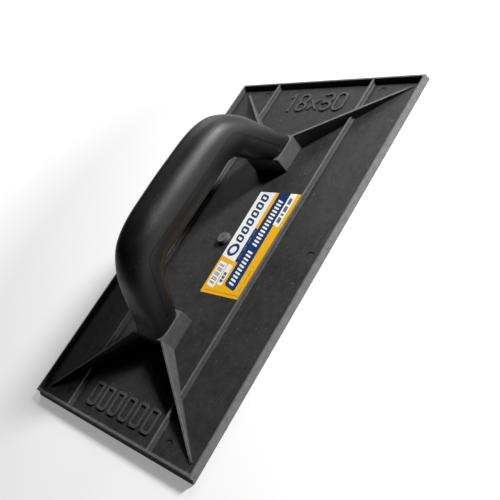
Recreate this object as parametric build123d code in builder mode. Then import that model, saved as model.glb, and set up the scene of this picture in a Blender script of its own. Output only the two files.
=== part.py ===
"""Moulded plastic hand float, 18 x 30 cm, with a closed two-shell handle.

Frame: +X runs along the blade, +Y across it, +Z from the working sole up to
the handle.  The origin is on the sole, at the middle of the blade.  Lengths
are millimetres.

Pieces
    float_blade        one moulding: sole, rim, ribs, diagonal webs, handle posts
    handle_top_shell   outer half of the hollow handle
    handle_grip_shell  inner half, on the finger side, with the two tenons
    post_screw_1/2     countersunk self-tapping screws, from the sole into the tenons
    size_label         paper label on the floor of the blade
"""
from build123d import *
from math import cos, hypot, pi, radians, sin, tan
import os

# ---------------------------------------------------------------- blade
BLADE_LENGTH = 300.0
BLADE_WIDTH = 180.0
FLOOR_THICKNESS = 2.4           # sole to the inside floor
RIM_HEIGHT = 3.6                # above the floor
RIM_THICKNESS = 1.7
END_FLARE = 1.8                 # how far each end's foot stands out past its rim
END_FLARE_TOP = 3.0             # where the flare runs out, above the sole
END_FOOT_HEIGHT = 1.0           # upright foot of each end, below the flare
CORNER_RADIUS = 1.6
SOLE_EDGE_RADIUS = 0.7
FLOOR_FILLET = 1.0              # concave fillets of the rim and the ribs
TRAY_CORNER_RADIUS = 1.5
EDGE_RADIUS = 0.4               # rounding of the top edges of rim, ribs, webs and posts
SINK = 0.2                      # how far a rib, web or post runs into the floor

RIB_HEIGHT = 3.3                # above the floor
RIB_THICKNESS = 1.7
RIB_OFFSET = 47.0               # each lengthwise rib from the centre line

# ---------------------------------------------------------------- corrugated sole
GROOVE_PITCH = 6.0
GROOVE_WIDTH = 3.2
GROOVE_DEPTH = 0.7
GROOVE_FLANK = 50.0             # degrees from the sole
GROOVE_COUNT = 27
SOLE_BORDER = 9.0               # plain border at each end of the grooves

# ---------------------------------------------------------------- handle posts and webs
POST_SPACING = 148.9            # between the centres of the two posts
POST_LENGTH = 23.4
POST_WIDTH = 32.6
POST_HEIGHT = 12.6              # above the floor
SOCKET_LENGTH = 18.4
SOCKET_WIDTH = 27.4
SOCKET_FLOOR = 4.6              # above the sole
SOCKET_CORNER_RADIUS = 1.0

WEB_THICKNESS = 1.9
WEB_END_X = 141.0               # where each web runs out on the floor
WEB_END_Y = 82.0
WEB_END_HEIGHT = 0.5
WEB_INSET = 1.2                 # how far a web runs into its post's corner

# ---------------------------------------------------------------- marks on the floor
GATE_CENTRE = (1.2, 2.4)        # injection gate stub, close to the middle
GATE_BASE_RADIUS = 5.6
GATE_TOP_RADIUS = 4.2
GATE_HEIGHT = 3.0
GATE_PIT_RADIUS = 0.9

EJECTOR_RADIUS = 3.2
EJECTOR_DEPTH = 0.45
EJECTOR_X = 138.0
EJECTOR_Y = 57.5
EJECTOR_SIDE_Y = 79.0           # the two beside the long rims

MARK_HEIGHT = 0.9               # raised marks, above the floor
MARK_EDGE_RADIUS = 0.3
STROKE = 2.1                    # width of a raised stroke
NUMERAL_HEIGHT = 18.0
NUMERAL_WIDTH = 10.8
NUMERAL_STEP = 12.2
NUMERAL_X = 129.0               # middle of the numerals; their tops point to +X
NUMERAL_Y = -0.7                # middle of the row
STROKE_TURN = 40.0              # degrees, slanted strokes
TILE_X = -131.0                 # middle of the row of plain raised lozenges
TILE_Y = -2.0
TILE_STEP = 12.6
TILE_COUNT = 6
TILE_LENGTH = 17.0
TILE_WIDTH = 9.6
TILE_CORNER_RADIUS = 2.7
TILE_HOLE_RADIUS = 0.8

# ---------------------------------------------------------------- handle
GRIP_HEIGHT = 57.4              # centre line of the grip above the sole
ARM_LEAN = 28.3                 # degrees from upright, towards the middle
BEND_RADIUS = 30.0              # of the centre line
PARTING_RADIUS = 12.0           # of the joint between the shells, round the same bends
ARM_ROOT = 9.0                  # arm drawn this far below the post, then cut level
SEAM_WIDTH = 0.5                # groove along the joint between the shells
SEAM_DEPTH = 0.3
SHELL_WALL = 2.5
FOOT_SOLID = 7.0                # depth of the solid foot of each arm
TENON_LENGTH = 18.0
TENON_WIDTH = 27.0
TENON_GAP = 0.3                 # under each tenon

# Sections square to the centre line, from a foot to the middle of the grip:
# distance up the centre line, half thickness in the plane of the handle, half
# width across it, exponent of the superellipse (2 is an ellipse, more is boxier).
ARM_SECTIONS = [
    (-9.0, 9.6, 15.0, 4.2),
    (0.0, 9.9, 15.2, 4.0),
    (6.0, 10.6, 15.2, 3.6),
    (13.0, 11.9, 15.0, 3.1),
    (22.0, 12.9, 14.8, 2.7),
    (31.0, 13.6, 14.7, 2.5),
    (42.0, 14.7, 14.8, 2.3),
    (53.0, 16.0, 15.1, 2.15),
    (64.0, 17.0, 15.4, 2.05),
    (79.0, 17.7, 15.6, 2.0),
]
GRIP_SECTION = (18.0, 15.7, 2.0)
OUTLINE_POINTS = 24

# ---------------------------------------------------------------- screws and label
SCREW_RADIUS = 2.1
SCREW_LENGTH = 14.0
SCREW_HEAD_RADIUS = 4.0
SCREW_HEAD_HEIGHT = 2.4
SCREW_HEAD_DEPTH = 0.6          # head below the sole
SCREW_POINT_LENGTH = 2.2
SCREW_HOLE_RADIUS = 2.4         # clearance in the socket floor
SCREW_HEAD_GAP = 0.2            # round the head
PILOT_SPARE = 0.5               # pilot hole past the screw's point
THREAD_PITCH = 1.6
THREAD_DEPTH = 0.45
THREAD_START = 3.6              # above the face of the head
DRIVE_LENGTH = 4.4              # cross recess
DRIVE_WIDTH = 1.1
DRIVE_DEPTH = 1.4

LABEL_LENGTH = 85.0
LABEL_WIDTH = 39.0
LABEL_THICKNESS = 0.12
LABEL_CORNER_RADIUS = 1.0
LABEL_CENTRE = (1.8, -24.0)
LABEL_TURN = 1.3                # degrees, stuck on by hand

# ---------------------------------------------------------------- worked out
FLOOR_Z = FLOOR_THICKNESS
RIM_Z = FLOOR_Z + RIM_HEIGHT
POST_Z = FLOOR_Z + POST_HEIGHT
POST_X = POST_SPACING / 2
RIM_LENGTH = BLADE_LENGTH - 2 * END_FLARE
INNER_LENGTH = RIM_LENGTH - 2 * RIM_THICKNESS
INNER_WIDTH = BLADE_WIDTH - 2 * RIM_THICKNESS
POST_CENTRES = [(-POST_X, 0), (POST_X, 0)]
SPINE_CORNER_X = POST_X - (GRIP_HEIGHT - POST_Z) * tan(radians(ARM_LEAN))
ROOT_X = POST_X + ARM_ROOT * sin(radians(ARM_LEAN))
ROOT_Z = POST_Z - ARM_ROOT * cos(radians(ARM_LEAN))
ARM_POINTS = [
    (-ROOT_X, ROOT_Z), (-SPINE_CORNER_X, GRIP_HEIGHT), (SPINE_CORNER_X, GRIP_HEIGHT), (ROOT_X, ROOT_Z),
]
RISING = (Align.CENTER, Align.CENTER, Align.MIN)


def save(piece, label):
    """Label a finished piece and write it as its own STEP file."""
    piece.label = label
    export_step(piece, f"parts/{label}.step")


# ================================================================ blade
def web_plane(side_x, side_y):
    """Upright plane of one diagonal web, from a post's outer corner to the blade's corner."""
    start = Vector(side_x * (POST_X + POST_LENGTH / 2), side_y * POST_WIDTH / 2, FLOOR_Z)
    end = Vector(side_x * WEB_END_X, side_y * WEB_END_Y, FLOOR_Z)
    along = (end - start).normalized()
    return Plane(origin=start, x_dir=along, z_dir=along.cross(Vector(0, 0, 1)))


def web_length():
    return hypot(WEB_END_X - POST_X - POST_LENGTH / 2, WEB_END_Y - POST_WIDTH / 2)


def rib_section(centre_y):
    """Rib section with a concave fillet at each foot, drawn across the blade."""
    half = RIB_THICKNESS / 2
    foot = half + FLOOR_FILLET
    knee_z = FLOOR_Z + FLOOR_FILLET
    top_z = FLOOR_Z + RIB_HEIGHT
    sunk_z = FLOOR_Z - SINK
    left, right = centre_y - half, centre_y + half
    left_foot, right_foot = centre_y - foot, centre_y + foot
    with BuildLine() as section:
        Line((left, knee_z), (left, top_z - EDGE_RADIUS))
        RadiusArc((left, top_z - EDGE_RADIUS), (left + EDGE_RADIUS, top_z), EDGE_RADIUS)
        Line((left + EDGE_RADIUS, top_z), (right - EDGE_RADIUS, top_z))
        RadiusArc((right - EDGE_RADIUS, top_z), (right, top_z - EDGE_RADIUS), EDGE_RADIUS)
        Line((right, top_z - EDGE_RADIUS), (right, knee_z))
        RadiusArc((right, knee_z), (right_foot, FLOOR_Z), FLOOR_FILLET)
        Polyline((right_foot, FLOOR_Z), (right_foot, sunk_z), (left_foot, sunk_z), (left_foot, FLOOR_Z))
        RadiusArc((left_foot, FLOOR_Z), (left, knee_z), FLOOR_FILLET)
    make_face(section.edges())


def end_cutter(side):
    """Section of what is cut off one end, above its flared foot."""
    rim_x = side * RIM_LENGTH / 2
    foot_x = side * BLADE_LENGTH / 2
    clear_x = side * (BLADE_LENGTH / 2 + 1)
    with BuildLine() as section:
        Polyline(
            (rim_x, RIM_Z + 1), (rim_x, END_FLARE_TOP), (foot_x, END_FOOT_HEIGHT),
            (clear_x, END_FOOT_HEIGHT), (clear_x, RIM_Z + 1), close=True,
        )
    make_face(section.edges())


def numeral_rings(radius_x, radius_y, mode):
    """One ellipse in the upper half of a numeral and one in the lower."""
    shift = (NUMERAL_HEIGHT - STROKE) / 4
    with Locations((0, shift), (0, -shift)):
        Ellipse(radius_x, radius_y, mode=mode)


def numeral_eight():
    """Two stacked rings."""
    half_height = (NUMERAL_HEIGHT + STROKE) / 4
    numeral_rings(NUMERAL_WIDTH / 2, half_height, Mode.ADD)
    numeral_rings(NUMERAL_WIDTH / 2 - STROKE, half_height - STROKE, Mode.SUBTRACT)


def numeral_three():
    """An eight with its left side open."""
    numeral_eight()
    opening = (NUMERAL_HEIGHT - STROKE) / 4
    with Locations((-NUMERAL_WIDTH / 2, opening), (-NUMERAL_WIDTH / 2, -opening)):
        Rectangle(NUMERAL_WIDTH - STROKE / 2, opening, mode=Mode.SUBTRACT)


def numeral_zero():
    """One tall ring."""
    SlotOverall(NUMERAL_HEIGHT, NUMERAL_WIDTH, rotation=90)
    SlotOverall(NUMERAL_HEIGHT - 2 * STROKE, NUMERAL_WIDTH - 2 * STROKE, rotation=90, mode=Mode.SUBTRACT)


def numeral_one():
    """A stroke with a short flag."""
    with Locations((STROKE / 2, 0)):
        Rectangle(STROKE, NUMERAL_HEIGHT)
    with Locations((-STROKE / 2, NUMERAL_HEIGHT / 2 - 1.2 * STROKE)):
        SlotOverall(2.6 * STROKE, STROKE, rotation=STROKE_TURN)


def times_sign():
    """Two crossed strokes, standing on the same line as the numerals."""
    for turn in (STROKE_TURN, -STROKE_TURN):
        with Locations((0, -STROKE)):
            SlotOverall(NUMERAL_HEIGHT - 2 * STROKE, STROKE, rotation=90 + turn)


def lozenge():
    """Plain open lozenge, one of a row."""
    RectangleRounded(TILE_WIDTH, TILE_LENGTH, TILE_CORNER_RADIUS)
    hole_size = (TILE_WIDTH - 2 * STROKE, TILE_LENGTH - 2 * STROKE)
    RectangleRounded(*hole_size, TILE_HOLE_RADIUS, mode=Mode.SUBTRACT)


def raised_mark(x, y, outline):
    """One raised mark on the floor; `outline` draws it with its top towards +X."""
    spot = Plane(origin=(x, y, FLOOR_Z - SINK), x_dir=(0, -1, 0), z_dir=(0, 0, 1))
    with BuildPart() as mark:
        with BuildSketch(spot) as face:
            outline()
        extrude(face.sketch, amount=MARK_HEIGHT + SINK)
        fillet(mark.edges().group_by(Axis.Z)[-1], MARK_EDGE_RADIUS)
    return mark.part


def row_of_marks(x, middle_y, step, outlines):
    """Raised marks side by side, the first at the +Y end of the row."""
    first_y = middle_y + (len(outlines) - 1) / 2 * step
    return [raised_mark(x, first_y - index * step, outline) for index, outline in enumerate(outlines)]


def web(side_x, side_y):
    """One diagonal web, its top edges rounded."""
    with BuildPart() as piece:
        with BuildSketch(web_plane(side_x, side_y)):
            with BuildLine():
                Polyline(
                    (-WEB_INSET, -SINK), (web_length(), -SINK), (web_length(), WEB_END_HEIGHT),
                    (0, POST_HEIGHT), (-WEB_INSET, POST_HEIGHT), close=True,
                )
            make_face()
        extrude(amount=WEB_THICKNESS / 2, both=True)
        top_faces = piece.faces().filter_by(lambda face: face.normal_at().Z > 0.5)
        sloping = top_faces.sort_by(SortBy.AREA)[-1]
        fillet(sloping.edges().sort_by(SortBy.LENGTH)[-2:], EDGE_RADIUS)
    return piece.part


def post(x, y):
    """One handle post with rounded edges, solid until its socket is cut."""
    with BuildPart() as piece:
        with Locations((x, y, FLOOR_Z - SINK)):
            Box(POST_LENGTH, POST_WIDTH, POST_HEIGHT + SINK, align=RISING)
        fillet(piece.edges().filter_by(Axis.Z), EDGE_RADIUS)
        fillet(piece.faces().sort_by(Axis.Z)[-1].edges(), EDGE_RADIUS)
    return piece.part


with BuildPart() as tray:
    # the room inside the rim, its lower edges rounded
    with BuildSketch(Plane.XY.offset(FLOOR_Z)):
        RectangleRounded(INNER_LENGTH, INNER_WIDTH, TRAY_CORNER_RADIUS)
    extrude(amount=RIM_HEIGHT + 1)
    fillet(tray.faces().sort_by(Axis.Z)[0].edges(), FLOOR_FILLET)

numerals = [numeral_one, numeral_eight, times_sign, numeral_three, numeral_zero]
marks = row_of_marks(NUMERAL_X, NUMERAL_Y, NUMERAL_STEP, numerals)
marks += row_of_marks(TILE_X, TILE_Y, TILE_STEP, [lozenge] * TILE_COUNT)
posts = [post(*centre) for centre in POST_CENTRES]
webs = [web(side_x, side_y) for side_x in (-1, 1) for side_y in (-1, 1)]

with BuildPart() as blade:
    # slab with rounded corners, its two ends cut back above their flared feet
    with BuildSketch():
        RectangleRounded(BLADE_LENGTH, BLADE_WIDTH, CORNER_RADIUS)
    extrude(amount=RIM_Z)
    with BuildSketch(Plane.XZ):
        end_cutter(-1)
        end_cutter(1)
    extrude(amount=BLADE_WIDTH, both=True, mode=Mode.SUBTRACT)
    fillet(blade.faces().sort_by(Axis.Z)[0].outer_wire().edges(), SOLE_EDGE_RADIUS)
    add(tray.part, mode=Mode.SUBTRACT)
    fillet(blade.edges().group_by(Axis.Z)[-1], EDGE_RADIUS)

    # lengthwise ribs, rim to rim
    with BuildSketch(Plane.YZ.offset(-INNER_LENGTH / 2 - 1)):
        rib_section(-RIB_OFFSET)
        rib_section(RIB_OFFSET)
    extrude(amount=INNER_LENGTH + 2)

    # posts, diagonal webs and raised marks
    add(posts)
    add(webs)
    add(marks)

    # sockets in the posts
    with BuildSketch(Plane.XY.offset(SOCKET_FLOOR)):
        with Locations(*POST_CENTRES):
            RectangleRounded(SOCKET_LENGTH, SOCKET_WIDTH, SOCKET_CORNER_RADIUS)
    extrude(amount=POST_Z, mode=Mode.SUBTRACT)

    # gate stub with its small pit
    with Locations((*GATE_CENTRE, FLOOR_Z - SINK)):
        Cone(GATE_BASE_RADIUS, GATE_TOP_RADIUS, GATE_HEIGHT + SINK, align=RISING)
    with Locations((*GATE_CENTRE, FLOOR_Z + GATE_HEIGHT)):
        Sphere(GATE_PIT_RADIUS, mode=Mode.SUBTRACT)

    # ejector pin marks
    with BuildSketch(Plane.XY.offset(FLOOR_Z - EJECTOR_DEPTH)):
        with GridLocations(2 * EJECTOR_X, 2 * EJECTOR_Y, 2, 2):
            Circle(EJECTOR_RADIUS)
        with GridLocations(0, 2 * EJECTOR_SIDE_Y, 1, 2):
            Circle(EJECTOR_RADIUS)
    extrude(amount=2 * EJECTOR_DEPTH, mode=Mode.SUBTRACT)

    # corrugated sole
    with BuildSketch(Plane.YZ.offset(-BLADE_LENGTH / 2 + SOLE_BORDER)):
        with GridLocations(GROOVE_PITCH, 0, GROOVE_COUNT, 1):
            Trapezoid(GROOVE_WIDTH, GROOVE_DEPTH, GROOVE_FLANK, align=(Align.CENTER, Align.MIN))
    extrude(amount=BLADE_LENGTH - 2 * SOLE_BORDER, mode=Mode.SUBTRACT)

    # countersunk screw holes through the socket floors
    with Locations(*POST_CENTRES):
        Cylinder(SCREW_HEAD_RADIUS + SCREW_HEAD_GAP, SCREW_HEAD_DEPTH, align=RISING, mode=Mode.SUBTRACT)
        Cylinder(SCREW_HOLE_RADIUS, SOCKET_FLOOR, align=RISING, mode=Mode.SUBTRACT)
    with Locations(*[(x, y, SCREW_HEAD_DEPTH) for x, y in POST_CENTRES]):
        Cone(
            SCREW_HEAD_RADIUS + SCREW_HEAD_GAP, SCREW_HOLE_RADIUS, SCREW_HEAD_HEIGHT,
            align=RISING, mode=Mode.SUBTRACT,
        )


# ================================================================ handle
def centre_line():
    """Centre line of the handle: up one leaning arm, along the grip, down the other."""
    with BuildLine(Plane.XZ) as line:
        FilletPolyline(*ARM_POINTS, radius=BEND_RADIUS)
    return line.wire()


def sections(half_length):
    """(distance along the centre line, half thickness, half width, exponent), foot to foot."""
    rising = [(ARM_ROOT + distance, *sizes) for distance, *sizes in ARM_SECTIONS]
    falling = [(2 * half_length - distance, *sizes) for distance, *sizes in reversed(rising)]
    return rising + [(half_length, *GRIP_SECTION)] + falling


def superellipse(half_x, half_y, exponent):
    """Closed smooth outline, |x/a|^n + |y/b|^n = 1."""
    points = []
    for index in range(OUTLINE_POINTS):
        angle = 2 * pi * (index + 0.5) / OUTLINE_POINTS
        reach = (abs(cos(angle)) ** exponent + abs(sin(angle)) ** exponent) ** (-1 / exponent)
        points.append((half_x * reach * cos(angle), half_y * reach * sin(angle)))
    with BuildLine() as outline:
        Spline(*points, periodic=True)
    make_face(outline.edges())


def handle_body(inset):
    """Solid handle with its surface moved in by `inset`, arms drawn on down into the posts."""
    line = centre_line()
    with BuildPart() as body:
        for distance, thick, wide, exponent in sections(line.length / 2):
            centre = line.position_at(distance, position_mode=PositionMode.LENGTH)
            direction = line.tangent_at(distance, position_mode=PositionMode.LENGTH)
            with BuildSketch(Plane(origin=centre, x_dir=(0, 1, 0), z_dir=direction)):
                superellipse(wide - inset, thick - inset, exponent)
        loft()
    return body.part


with BuildPart() as cavity:
    add(handle_body(SHELL_WALL))
    split(bisect_by=Plane.XY.offset(POST_Z + FOOT_SOLID), keep=Keep.TOP)

with BuildPart() as handle:
    # the whole handle as one wall, solid at its feet and cut level on the posts
    add(handle_body(0))
    split(bisect_by=Plane.XY.offset(POST_Z), keep=Keep.TOP)
    add(cavity.part, mode=Mode.SUBTRACT)

with BuildPart() as finger_side:
    # everything on the finger side of the joint between the shells
    with BuildSketch(Plane.XZ):
        with BuildLine():
            FilletPolyline(*ARM_POINTS, radius=PARTING_RADIUS)
            Polyline(ARM_POINTS[-1], (ROOT_X, 0), (-ROOT_X, 0), ARM_POINTS[0])
        make_face()
    extrude(amount=POST_WIDTH, both=True)

with BuildPart() as seam:
    # shallow groove all along that joint
    with BuildSketch(Plane.XZ):
        with BuildLine():
            FilletPolyline(*ARM_POINTS, radius=PARTING_RADIUS)
        trace(line_width=SEAM_WIDTH)
    extrude(amount=POST_WIDTH, both=True)
    add(handle_body(SEAM_DEPTH), mode=Mode.SUBTRACT)

with BuildPart() as top_shell:
    add(handle.part)
    add([finger_side.part, seam.part], mode=Mode.SUBTRACT)

with BuildPart() as grip_shell:
    add(handle.part)
    add(finger_side.part, mode=Mode.INTERSECT)
    add(seam.part, mode=Mode.SUBTRACT)
    # tenons that stand in the post sockets, each with a pilot hole for its screw
    with BuildSketch(Plane.XY.offset(SOCKET_FLOOR + TENON_GAP)):
        with Locations(*POST_CENTRES):
            RectangleRounded(TENON_LENGTH, TENON_WIDTH, SOCKET_CORNER_RADIUS)
    extrude(amount=POST_Z - SOCKET_FLOOR - TENON_GAP)
    with Locations(*[(x, y, SOCKET_FLOOR) for x, y in POST_CENTRES]):
        Cylinder(
            SCREW_RADIUS, SCREW_HEAD_DEPTH + SCREW_LENGTH + PILOT_SPARE - SOCKET_FLOOR,
            align=RISING, mode=Mode.SUBTRACT,
        )


# ================================================================ screws
def screw_section():
    """Half section of a countersunk self-tapping screw, its head's face at the origin."""
    root = SCREW_RADIUS - THREAD_DEPTH
    shank_end = SCREW_LENGTH - SCREW_POINT_LENGTH
    points = [(0, 0), (SCREW_HEAD_RADIUS, 0), (root, SCREW_HEAD_HEIGHT)]
    for index in range(int((shank_end - THREAD_START) / THREAD_PITCH)):
        z = THREAD_START + index * THREAD_PITCH
        points += [(root, z), (SCREW_RADIUS, z + THREAD_PITCH / 3), (root, z + 2 * THREAD_PITCH / 3)]
    return points + [(root, shank_end), (0, SCREW_LENGTH)]


def post_screw(x, y):
    """One screw in its place in the blade."""
    with BuildPart() as screw:
        with BuildSketch(Plane(origin=(x, y, SCREW_HEAD_DEPTH), x_dir=(1, 0, 0), z_dir=(0, -1, 0))):
            with BuildLine():
                Polyline(*screw_section(), close=True)
            make_face()
        revolve(axis=Axis((x, y, 0), (0, 0, 1)))
        with BuildSketch(Plane.XY.offset(SCREW_HEAD_DEPTH)):
            with Locations((x, y)):
                Rectangle(DRIVE_LENGTH, DRIVE_WIDTH, rotation=45)
                Rectangle(DRIVE_WIDTH, DRIVE_LENGTH, rotation=45)
        extrude(amount=DRIVE_DEPTH, mode=Mode.SUBTRACT)
    return screw.part


# ================================================================ label
with BuildPart() as label:
    label_direction = Vector(1, 0, 0).rotate(Axis.Z, LABEL_TURN)
    with BuildSketch(Plane(origin=(*LABEL_CENTRE, FLOOR_Z), x_dir=label_direction, z_dir=(0, 0, 1))):
        RectangleRounded(LABEL_LENGTH, LABEL_WIDTH, LABEL_CORNER_RADIUS)
    extrude(amount=LABEL_THICKNESS)

# ================================================================ files
os.makedirs("parts", exist_ok=True)
save(blade.part, "float_blade")
save(top_shell.part, "handle_top_shell")
save(grip_shell.part, "handle_grip_shell")
for number, (post_x, post_y) in enumerate(POST_CENTRES, start=1):
    save(post_screw(post_x, post_y), f"post_screw_{number}")
save(label.part, "size_label")
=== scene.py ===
"""Looks of the moulded plastic hand float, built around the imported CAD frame, in metres."""
import math

import bmesh
import bpy
from mathutils import Matrix, Vector


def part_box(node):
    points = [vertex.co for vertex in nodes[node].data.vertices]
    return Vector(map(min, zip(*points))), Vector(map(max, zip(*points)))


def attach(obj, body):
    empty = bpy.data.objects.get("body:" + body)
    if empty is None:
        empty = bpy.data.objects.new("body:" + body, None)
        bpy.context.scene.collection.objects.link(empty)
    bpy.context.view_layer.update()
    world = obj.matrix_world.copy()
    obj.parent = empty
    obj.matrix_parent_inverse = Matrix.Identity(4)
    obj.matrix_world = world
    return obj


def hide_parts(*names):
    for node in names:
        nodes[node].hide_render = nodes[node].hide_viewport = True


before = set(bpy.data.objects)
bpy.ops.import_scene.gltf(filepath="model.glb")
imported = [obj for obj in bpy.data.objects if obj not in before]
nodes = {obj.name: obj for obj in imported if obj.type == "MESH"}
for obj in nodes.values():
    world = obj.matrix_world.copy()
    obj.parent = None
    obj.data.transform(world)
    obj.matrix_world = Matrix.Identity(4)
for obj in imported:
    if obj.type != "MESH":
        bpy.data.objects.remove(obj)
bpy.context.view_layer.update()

MM = 0.001
collection = bpy.context.scene.collection

# ---------------------------------------------------------------- places, from the frame
BLADE_LOW, BLADE_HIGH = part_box("float_blade")
LABEL_LOW, LABEL_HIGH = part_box("size_label")
FLOOR_Z = LABEL_LOW.z                      # inside floor of the blade
LABEL_CENTRE = (LABEL_LOW + LABEL_HIGH) / 2
LABEL_TURN = math.radians(1.3)


# ================================================================ materials
# Colours are linear. Noise scales are per metre, bump distances are metres.
BLADE_DARK = (0.018, 0.018, 0.0184)
BLADE_LIGHT = (0.033, 0.033, 0.0334)
BLADE_MOTTLE = (0.05, 0.05, 0.051)
# pale grey painted on as a highlight on raised tops and as a reflection on the outer side walls
BLADE_PAINTED_HIGHLIGHT = (0.16, 0.16, 0.162)
SCRATCH_GREY = (0.11, 0.11, 0.11)
DUST_GREY = (0.14, 0.14, 0.14)
HANDLE_DARK = (0.0025, 0.0025, 0.0026)
HANDLE_LIGHT = (0.005, 0.005, 0.0052)
HANDLE_STREAK = (0.009, 0.009, 0.0093)
HANDLE_SPECK = (0.08, 0.08, 0.08)
ZINC_DARK = (0.42, 0.43, 0.44)
ZINC_LIGHT = (0.6, 0.6, 0.6)
HIGHLIGHT_START = FLOOR_Z + 0.6 * MM             # painted highlight on raised faces starts at this height
HIGHLIGHT_FULL = FLOOR_Z + 1.4 * MM
SIDE_REFLECTION_START = BLADE_HIGH.y - 0.5 * MM       # painted reflection on the outer side walls starts outside this
SIDE_REFLECTION_FULL = BLADE_HIGH.y - 0.2 * MM


def new_material(name):
    """Material with a Principled shader: (material, its nodes, its links, the shader)."""
    material = bpy.data.materials.new(name)
    material.use_nodes = True
    tree = material.node_tree
    shader = next(node for node in tree.nodes if node.type == "BSDF_PRINCIPLED")
    return material, tree.nodes, tree.links, shader


def set_material(piece, material):
    piece.data.materials.clear()
    piece.data.materials.append(material)


def object_position(tree_nodes, links, stretch=(1, 1, 1), turn=0.0):
    """The object's own coordinates, stretched and turned about Z."""
    coordinates = tree_nodes.new("ShaderNodeTexCoord")
    mapping = tree_nodes.new("ShaderNodeMapping")
    mapping.inputs["Scale"].default_value = stretch
    mapping.inputs["Rotation"].default_value = (0, 0, turn)
    links.new(coordinates.outputs["Object"], mapping.inputs["Vector"])
    return mapping.outputs["Vector"]


def noise_value(tree_nodes, links, place, scale, detail=4.0, roughness=0.5):
    """Noise between 0 and 1 at `place`."""
    texture = tree_nodes.new("ShaderNodeTexNoise")
    texture.inputs["Scale"].default_value = scale
    texture.inputs["Detail"].default_value = detail
    texture.inputs["Roughness"].default_value = roughness
    links.new(place, texture.inputs["Vector"])
    return texture.outputs["Fac"]


def remap(tree_nodes, links, source, low, high, from_low=0.3, from_high=0.7):
    """Value stretched from one range to another and clamped."""
    node = tree_nodes.new("ShaderNodeMapRange")
    node.inputs["From Min"].default_value = from_low
    node.inputs["From Max"].default_value = from_high
    node.inputs["To Min"].default_value = low
    node.inputs["To Max"].default_value = high
    links.new(source, node.inputs["Value"])
    return node.outputs["Result"]


def arithmetic(tree_nodes, links, operation, first, second):
    """One Math node; each input is a socket or a number."""
    node = tree_nodes.new("ShaderNodeMath")
    node.operation = operation
    for socket, value in zip(node.inputs, (first, second)):
        if isinstance(value, (int, float)):
            socket.default_value = value
        else:
            links.new(value, socket)
    return node.outputs["Value"]


def mix_colour(tree_nodes, links, factor, first, second):
    """Colour between two; `first` is a colour or a socket."""
    node = tree_nodes.new("ShaderNodeMix")
    node.data_type = "RGBA"
    if isinstance(first, tuple):
        node.inputs["A"].default_value = (*first, 1)
    else:
        links.new(first, node.inputs["A"])
    node.inputs["B"].default_value = (*second, 1)
    links.new(factor, node.inputs["Factor"])
    return node.outputs["Result"]


def bump(tree_nodes, links, height, distance, strength, before=None):
    """Bump node, added on top of the normal `before`."""
    node = tree_nodes.new("ShaderNodeBump")
    node.inputs["Strength"].default_value = strength
    node.inputs["Distance"].default_value = distance
    links.new(height, node.inputs["Height"])
    if before:
        links.new(before, node.inputs["Normal"])
    return node.outputs["Normal"]


def scratches(tree_nodes, links, turn, length_scale, across_scale, threshold):
    """Sparse fine lines: stretched noise, kept only where it peaks."""
    place = object_position(tree_nodes, links, (length_scale, across_scale, across_scale), turn)
    line = noise_value(tree_nodes, links, place, 1.0, 2.0, 0.5)
    patch = noise_value(tree_nodes, links, object_position(tree_nodes, links), 26.0, 2.0, 0.5)
    lines = remap(tree_nodes, links, line, 0, 1, threshold, threshold + 0.05)
    return arithmetic(tree_nodes, links, "MULTIPLY", lines, remap(tree_nodes, links, patch, 0, 1, 0.48, 0.6))


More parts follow.
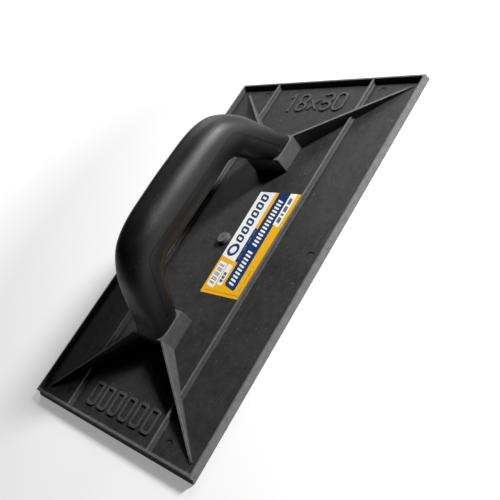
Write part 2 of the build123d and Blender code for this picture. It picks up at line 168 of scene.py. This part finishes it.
def blade_material():
    """Satin black moulding: fine grain, cloudy gloss, scuffs, a painted highlight on raised tops and a
    painted reflection on the outer side walls.
    """
    material, tree_nodes, links, shader = new_material("blade_plastic_look")
    place = object_position(tree_nodes, links)
    cloud = noise_value(tree_nodes, links, place, 38.0, 5.0, 0.55)
    mottle = noise_value(tree_nodes, links, place, 240.0, 4.0, 0.6)
    grain = noise_value(tree_nodes, links, place, 1100.0, 3.0, 0.6)
    speck = noise_value(tree_nodes, links, place, 620.0, 2.0, 0.5)
    colour = mix_colour(tree_nodes, links, remap(tree_nodes, links, cloud, 0, 1), BLADE_DARK, BLADE_LIGHT)
    colour = mix_colour(tree_nodes, links, remap(tree_nodes, links, mottle, 0, 0.6), colour, BLADE_MOTTLE)

    # painted highlight on faces that look up and stand above the floor, and painted reflection on the outer
    # side walls, broken into patches
    separate = tree_nodes.new("ShaderNodeSeparateXYZ")
    links.new(place, separate.inputs["Vector"])
    geometry = tree_nodes.new("ShaderNodeNewGeometry")
    facing = tree_nodes.new("ShaderNodeSeparateXYZ")
    links.new(geometry.outputs["Normal"], facing.inputs["Vector"])
    raised = remap(tree_nodes, links, separate.outputs["Z"], 0, 1, HIGHLIGHT_START, HIGHLIGHT_FULL)
    upward = remap(tree_nodes, links, facing.outputs["Z"], 0.4, 1, 0.35, 0.8)
    top = arithmetic(tree_nodes, links, "MULTIPLY", raised, upward)
    across = arithmetic(tree_nodes, links, "ABSOLUTE", separate.outputs["Y"], 0)
    side = remap(tree_nodes, links, across, 0, 1, SIDE_REFLECTION_START, SIDE_REFLECTION_FULL)
    painted_highlight = arithmetic(tree_nodes, links, "MAXIMUM", top, side)
    highlight_patches = noise_value(tree_nodes, links, place, 210.0, 5.0, 0.65)
    painted_highlight = arithmetic(tree_nodes, links, "MULTIPLY", painted_highlight, remap(tree_nodes, links, highlight_patches, 0.55, 1.0))
    # the painted highlight and painted reflection are mixed into the base colour here
    colour = mix_colour(tree_nodes, links, painted_highlight, colour, BLADE_PAINTED_HIGHLIGHT)

    # fine handling scratches, two ways, and dust specks
    lines = scratches(tree_nodes, links, math.radians(14), 9.0, 900.0, 0.66)
    crossing = scratches(tree_nodes, links, math.radians(-52), 14.0, 1100.0, 0.68)
    lines = arithmetic(tree_nodes, links, "MAXIMUM", lines, crossing)
    faint_lines = arithmetic(tree_nodes, links, "MULTIPLY", lines, 0.6)
    colour = mix_colour(tree_nodes, links, faint_lines, colour, SCRATCH_GREY)
    dust = remap(tree_nodes, links, speck, 0, 0.6, 0.68, 0.74)
    colour = mix_colour(tree_nodes, links, dust, colour, DUST_GREY)
    links.new(colour, shader.inputs["Base Color"])

    gloss = remap(tree_nodes, links, cloud, 0.56, 0.66)
    gloss = arithmetic(tree_nodes, links, "ADD", gloss, arithmetic(tree_nodes, links, "MULTIPLY", painted_highlight, 0.12))
    links.new(gloss, shader.inputs["Roughness"])
    normal = bump(tree_nodes, links, cloud, 0.0012, 0.12)
    normal = bump(tree_nodes, links, mottle, 0.0004, 0.28, normal)
    normal = bump(tree_nodes, links, grain, 0.0002, 0.5, normal)
    normal = bump(tree_nodes, links, lines, 0.0001, -0.5, normal)
    links.new(normal, shader.inputs["Normal"])
    shader.inputs["IOR"].default_value = 1.5
    shader.inputs["Specular IOR Level"].default_value = 0.3
    return material


def handle_material():
    """Finer, more matt black of the handle, with faint streaks drawn along the grip."""
    material, tree_nodes, links, shader = new_material("handle_plastic_look")
    place = object_position(tree_nodes, links)
    cloud = noise_value(tree_nodes, links, place, 60.0, 5.0, 0.6)
    grain = noise_value(tree_nodes, links, place, 1500.0, 3.0, 0.65)
    streak_place = object_position(tree_nodes, links, (12.0, 260.0, 260.0))
    streak = noise_value(tree_nodes, links, streak_place, 1.0, 3.0, 0.5)
    speck = noise_value(tree_nodes, links, place, 640.0, 2.0, 0.5)
    colour = mix_colour(tree_nodes, links, remap(tree_nodes, links, cloud, 0, 1), HANDLE_DARK, HANDLE_LIGHT)
    drawn = remap(tree_nodes, links, streak, 0, 0.5, 0.5, 0.75)
    colour = mix_colour(tree_nodes, links, drawn, colour, HANDLE_STREAK)
    dust = remap(tree_nodes, links, speck, 0, 0.45, 0.69, 0.75)
    colour = mix_colour(tree_nodes, links, dust, colour, HANDLE_SPECK)
    links.new(colour, shader.inputs["Base Color"])
    links.new(remap(tree_nodes, links, cloud, 0.4, 0.48), shader.inputs["Roughness"])
    normal = bump(tree_nodes, links, grain, 0.00025, 0.5)
    normal = bump(tree_nodes, links, streak, 0.0004, 0.12, normal)
    links.new(normal, shader.inputs["Normal"])
    shader.inputs["IOR"].default_value = 1.5
    shader.inputs["Specular IOR Level"].default_value = 0.4
    return material


def steel_material():
    """Zinc-plated steel with fine turning marks and dull patches."""
    material, tree_nodes, links, shader = new_material("screw_steel_look")
    place = object_position(tree_nodes, links)
    patch = noise_value(tree_nodes, links, place, 260.0, 4.0, 0.6)
    fine = noise_value(tree_nodes, links, place, 2600.0, 2.0, 0.5)
    colour = mix_colour(tree_nodes, links, remap(tree_nodes, links, patch, 0, 1), ZINC_DARK, ZINC_LIGHT)
    links.new(colour, shader.inputs["Base Color"])
    links.new(remap(tree_nodes, links, patch, 0.26, 0.42), shader.inputs["Roughness"])
    links.new(bump(tree_nodes, links, fine, 0.0001, 0.25), shader.inputs["Normal"])
    shader.inputs["Metallic"].default_value = 1
    return material


def print_material(name, colour, worn_colour):
    """One printed colour of the label, under a dull film, slightly uneven."""
    material, tree_nodes, links, shader = new_material(name)
    place = object_position(tree_nodes, links)
    cloud = noise_value(tree_nodes, links, place, 90.0, 4.0, 0.6)
    fibre = noise_value(tree_nodes, links, place, 900.0, 3.0, 0.6)
    links.new(mix_colour(tree_nodes, links, remap(tree_nodes, links, cloud, 0, 1), colour, worn_colour),
              shader.inputs["Base Color"])
    links.new(remap(tree_nodes, links, fibre, 0.62, 0.74), shader.inputs["Roughness"])
    links.new(bump(tree_nodes, links, cloud, 0.0008, 0.08), shader.inputs["Normal"])
    shader.inputs["IOR"].default_value = 1.45
    shader.inputs["Specular IOR Level"].default_value = 0.15
    return material


blade_plastic = blade_material()
handle_plastic = handle_material()
screw_steel = steel_material()
set_material(nodes["float_blade"], blade_plastic)
set_material(nodes["handle_top_shell"], handle_plastic)
set_material(nodes["handle_grip_shell"], handle_plastic)
set_material(nodes["post_screw_1"], screw_steel)
set_material(nodes["post_screw_2"], screw_steel)

# ================================================================ label
# Drawn in millimetres about its centre: u along the label, v across it.
LABEL_LENGTH = 85.0
LABEL_WIDTH = 39.0
LABEL_THICKNESS = (LABEL_HIGH.z - LABEL_LOW.z) / MM
INK_STEP = 0.015                # each printed layer above the one under it
SLANT = 0.3                     # every upright edge leans this far along for each step across
CODE_SLANT = 0.24               # the same for the two code boxes
CORNER_STEPS = 5
RING_STEPS = 36

WHITE_LOW = 4.3                 # foot of the white field
BAND_LOW, BAND_HIGH = -10.6, 1.2
BAND_START = -37.6
SIZE_BOX_LOW, SIZE_BOX_HIGH = -15.9, -9.8
RING_CENTRE = (-7.2, 12.1)
RING_RADIUS = 5.2
RING_HOLE = 2.9
LOZENGES = 6
LOZENGE_START = -1.6
LOZENGE_STEP = 7.0
LOZENGE_LENGTH = 5.6
LOZENGE_LOW, LOZENGE_HIGH = 8.3, 15.9
LOZENGE_RADIUS = 2.0
LOZENGE_STROKE = 1.8
BAR_LOW = -7.2                  # bars on the blue band
BAR_HEIGHT = 5.2
BAR_WIDTH = 1.5
BAR_GAP = 1.3
EDGE_LINES = 22                 # fine lines up the left edge
EDGE_LINE_STEP = 1.5

INKS = {                        # layer over the paper, colour, colour where uneven
    "amber": (0, (0.9, 0.46, 0.008), (0.93, 0.5, 0.014)),
    "white": (1, (0.9, 0.9, 0.89), (0.94, 0.94, 0.93)),
    "blue": (2, (0.011, 0.036, 0.135), (0.015, 0.044, 0.15)),
    "slate": (3, (0.1, 0.12, 0.26), (0.13, 0.15, 0.3)),
    "ochre": (3, (0.5, 0.25, 0.02), (0.6, 0.32, 0.03)),
    "pale": (4, (0.9, 0.9, 0.89), (0.94, 0.94, 0.93)),
    "slate_top": (5, (0.1, 0.12, 0.26), (0.13, 0.15, 0.3)),
}
INK_NAMES = list(INKS)


def leaning_box(u_low, u_high, v_low, v_high, radius=0.0, slant=SLANT):
    """Outline of a box whose ends lean; u is measured at its lower edge. Corners may be round."""
    radius = min(radius, (u_high - u_low) / 2, (v_high - v_low) / 2)
    if not radius:
        corners = [(u_low, v_low), (u_high, v_low), (u_high, v_high), (u_low, v_high)]
    else:
        corners = []
        centres = [(u_low, v_low, 180), (u_high, v_low, 270), (u_high, v_high, 0), (u_low, v_high, 90)]
        for u, v, start in centres:
            centre_u = u + radius if u == u_low else u - radius
            centre_v = v + radius if v == v_low else v - radius
            for step in range(CORNER_STEPS + 1):
                angle = math.radians(start + 90 * step / CORNER_STEPS)
                corners.append((centre_u + radius * math.cos(angle), centre_v + radius * math.sin(angle)))
    return [(u + slant * (v - v_low), v) for u, v in corners]


def label_point(u, v, height):
    """Place on the label, turned as it was stuck on; height in millimetres above the floor."""
    across = Matrix.Rotation(LABEL_TURN, 3, "Z") @ Vector((u * MM, v * MM, 0))
    return Vector((LABEL_CENTRE.x, LABEL_CENTRE.y, FLOOR_Z + height * MM)) + across


def add_slab(form, outline, ink, bottom=None):
    """Thin closed slab of one ink; a pair of loops as `outline` is a slab with a hole."""
    layer = INKS[ink][0]
    top = LABEL_THICKNESS + layer * INK_STEP
    low = LABEL_THICKNESS if bottom is None else bottom
    if isinstance(outline, tuple):
        outer, inner = outline
    else:
        outer, inner = outline, None
    index = INK_NAMES.index(ink)

    def loop(points, height):
        return [form.verts.new(label_point(u, v, height)) for u, v in points]

    outer_top = loop(outer, top)
    outer_low = loop(outer, low)
    count = len(outer)
    faces = []
    for k in range(count):
        after = (k + 1) % count
        faces.append((outer_low[k], outer_low[after], outer_top[after], outer_top[k]))
    if inner:
        inner_top = loop(inner, top)
        inner_low = loop(inner, low)
        for k in range(count):
            after = (k + 1) % count
            faces.append((outer_top[k], outer_top[after], inner_top[after], inner_top[k]))
            faces.append((inner_top[k], inner_top[after], inner_low[after], inner_low[k]))
            faces.append((inner_low[k], inner_low[after], outer_low[after], outer_low[k]))
    else:
        faces.append(outer_top)
        faces.append(outer_low[::-1])
    for face in faces:
        form.faces.new(face).material_index = index


def circle(centre, radius):
    """Round outline."""
    points = []
    for k in range(RING_STEPS):
        angle = 2 * math.pi * k / RING_STEPS
        points.append((centre[0] + radius * math.cos(angle), centre[1] + radius * math.sin(angle)))
    return points


def open_lozenge(u_low):
    """Ring-shaped outline pair: a leaning rounded box and its hole."""
    lean = LOZENGE_STROKE * (1 + SLANT)
    u_high = u_low + LOZENGE_LENGTH
    outer = leaning_box(u_low, u_high, LOZENGE_LOW, LOZENGE_HIGH, LOZENGE_RADIUS)
    inner = leaning_box(u_low + lean, u_high - LOZENGE_STROKE + SLANT * LOZENGE_STROKE,
                        LOZENGE_LOW + LOZENGE_STROKE, LOZENGE_HIGH - LOZENGE_STROKE,
                        max(LOZENGE_RADIUS - LOZENGE_STROKE, 0.3))
    return outer, inner


def row_of_bars(form, ink, u_start, u_end, v_low, heights, width, gap, radius=0.0, slant=SLANT):
    """Plain bars side by side, their heights taken in turn from `heights`."""
    count = int((u_end - u_start + gap) / (width + gap))
    for k in range(count):
        u = u_start + k * (width + gap)
        height = heights[k % len(heights)]
        if height:
            add_slab(form, leaning_box(u, u + width, v_low, v_low + height, radius, slant), ink)


def label_fields(form):
    """Amber paper and the coloured fields on it."""
    half_u, half_v = LABEL_LENGTH / 2, LABEL_WIDTH / 2
    add_slab(form, leaning_box(-half_u, half_u, -half_v, half_v, 1.0, 0), "amber", 0.0)
    add_slab(form, [(-16.2, WHITE_LOW), (half_u, WHITE_LOW), (half_u, half_v), (-12.6, half_v)], "white")
    band = leaning_box(BAND_START, half_u, BAND_LOW, BAND_HIGH, 2.2)
    add_slab(form, [(min(u, half_u), v) for u, v in band], "blue")
    add_slab(form, leaning_box(-16.6, 11.4, BAND_HIGH, 4.2, 0.8), "blue")
    size_box = [(14.6, SIZE_BOX_LOW), (half_u, SIZE_BOX_LOW), (half_u, SIZE_BOX_HIGH), (16.4, SIZE_BOX_HIGH)]
    add_slab(form, size_box, "pale")
    add_slab(form, leaning_box(-38.2, -18.6, 9.6, 17.6, 1.2, CODE_SLANT), "white")
    add_slab(form, leaning_box(-35.6, -19.4, 3.6, 8.6, 0.9, CODE_SLANT), "white")


def label_graphics(form):
    """A plain ring, open lozenges and plain bars on the coloured fields: no lettering."""
    label_fields(form)
    add_slab(form, (circle(RING_CENTRE, RING_RADIUS), circle(RING_CENTRE, RING_HOLE)), "blue")
    for k in range(LOZENGES):
        add_slab(form, open_lozenge(LOZENGE_START + k * LOZENGE_STEP), "blue")
    # small line on the blue step, two groups of bars on the blue band, bars in the size box
    row_of_bars(form, "slate", -13.6, 10.2, 1.5, (1.5, 1.5, 1.5, 0), 1.1, 0.5)
    for start, end in ((-34.0, -7.0), (-2.6, 35.8)):
        row_of_bars(form, "pale", start, end, BAR_LOW, (BAR_HEIGHT,), BAR_WIDTH, BAR_GAP, 0.5)
    for start, end in ((17.6, 22.0), (23.6, 25.2), (26.8, 31.4), (33.0, 38.0)):
        add_slab(form, leaning_box(start, end, -14.6, -11.3, 0.5), "slate_top")
    # bars of the two code boxes
    code_heights = (5.6, 5.6, 0, 5.6, 5.6, 5.6, 0, 5.6)
    row_of_bars(form, "slate", -35.6, -19.6, 10.9, code_heights, 0.5, 0.42, 0, CODE_SLANT)
    row_of_bars(form, "slate", -33.2, -20.4, 4.7, (2.9, 2.9, 2.9, 0), 2.2, 0.6, 0.4, CODE_SLANT)
    # fine lines on the amber ground
    row_of_bars(form, "ochre", -37.0, -16.0, -15.5, (0.9, 0.9, 0.9, 0), 1.2, 0.35)
    for k in range(EDGE_LINES):
        v = -16.6 + k * EDGE_LINE_STEP
        add_slab(form, leaning_box(-40.6, -39.7, v, v + 0.7 * EDGE_LINE_STEP, 0, 0), "ochre")


label_mesh = bpy.data.meshes.new("printed_label")
label_form = bmesh.new()
label_graphics(label_form)
bmesh.ops.recalc_face_normals(label_form, faces=label_form.faces)
label_form.to_mesh(label_mesh)
label_form.free()
for ink_name in INK_NAMES:
    label_mesh.materials.append(print_material(f"label_{ink_name}", *INKS[ink_name][1:]))
printed_label = bpy.data.objects.new("printed_label", label_mesh)
collection.objects.link(printed_label)
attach(printed_label, "root")
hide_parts("size_label")

# ================================================================ floor, light and camera
FLOOR_REACH = 1.2               # from the object to the middle of each side of the floor
GLOW_NEAR = (0.25, 0.3)         # distance and strength where the floor starts to brighten
GLOW_FAR = (0.7, 1.1)           # and where it has become as white as the room
floor_mesh = bpy.data.meshes.new("floor")
floor_form = bmesh.new()
bmesh.ops.create_grid(floor_form, x_segments=1, y_segments=1, size=FLOOR_REACH)
floor_form.to_mesh(floor_mesh)
floor_form.free()
floor = bpy.data.objects.new("floor", floor_mesh)
collection.objects.link(floor)
floor_material, floor_nodes, floor_links, floor_shader = new_material("pale_floor")
floor_shader.inputs["Base Color"].default_value = (0.82, 0.82, 0.82, 1)
floor_shader.inputs["Roughness"].default_value = 0.9
floor_shader.inputs["Specular IOR Level"].default_value = 0.1
floor_shader.inputs["Emission Color"].default_value = (1, 1, 1, 1)
reach = floor_nodes.new("ShaderNodeVectorMath")
reach.operation = "LENGTH"
floor_links.new(object_position(floor_nodes, floor_links), reach.inputs[0])
glow = remap(floor_nodes, floor_links, reach.outputs["Value"], GLOW_NEAR[1], GLOW_FAR[1],
             GLOW_NEAR[0], GLOW_FAR[0])
floor_links.new(glow, floor_shader.inputs["Emission Strength"])
set_material(floor, floor_material)


def area_light(name, place, size, power):
    """Soft square light at `place`, turned towards the object."""
    data = bpy.data.lights.new(name, "AREA")
    data.energy = power
    data.size = size
    light = bpy.data.objects.new(name, data)
    light.location = place
    light.rotation_euler = (-place).to_track_quat("-Z", "Y").to_euler()
    collection.objects.link(light)


LIGHTS = {                     # direction from the object, distance, size, power
    "key": ((0.7, -0.68, 0.54), 0.9, 0.15, 12.5),
    "side": ((0.9, 0.06, 0.45), 1.8, 0.5, 4),
    "back": ((0.75, 0.5, 0.48), 1.8, 0.9, 10),
}
for light_name, (direction, distance, size, power) in LIGHTS.items():
    area_light(light_name, Vector(direction).normalized() * distance, size, power)

ROOM_LIGHT = 0.01               # the room lights the object this dimly, but is seen as white
world = bpy.data.worlds.new("studio")
bpy.context.scene.world = world
world.use_nodes = True
world_tree = world.node_tree
background = world_tree.nodes["Background"]
background.inputs["Color"].default_value = (1, 1, 1, 1)
light_path = world_tree.nodes.new("ShaderNodeLightPath")
room = world_tree.nodes.new("ShaderNodeMapRange")
room.inputs["To Min"].default_value = ROOM_LIGHT
room.inputs["To Max"].default_value = 1.0
world_tree.links.new(light_path.outputs["Is Camera Ray"], room.inputs["Value"])
world_tree.links.new(room.outputs["Result"], background.inputs["Strength"])
bpy.context.scene.view_settings.view_transform = "Standard"

# the photograph's viewing angle
CAMERA_PLACE = Vector((-0.1584, -0.3796, 0.2918))
CAMERA_RIGHT = Vector((0.5037, -0.6628, -0.5541)).normalized()
CAMERA_VIEW = Vector((0.3082, 0.7370, -0.6015)).normalized()
camera_data = bpy.data.cameras.new("camera")
camera_data.sensor_width = 36
camera_data.lens = 52.39
camera_data.shift_x = 0.0144
camera_data.shift_y = 0.0153
camera_data.clip_start = 0.01
camera = bpy.data.objects.new("camera", camera_data)
camera_up = CAMERA_RIGHT.cross(CAMERA_VIEW)
camera_turn = Matrix((CAMERA_RIGHT, camera_up, -CAMERA_VIEW)).transposed().to_4x4()
camera.matrix_world = Matrix.Translation(CAMERA_PLACE) @ camera_turn
collection.objects.link(camera)
bpy.context.scene.camera = camera
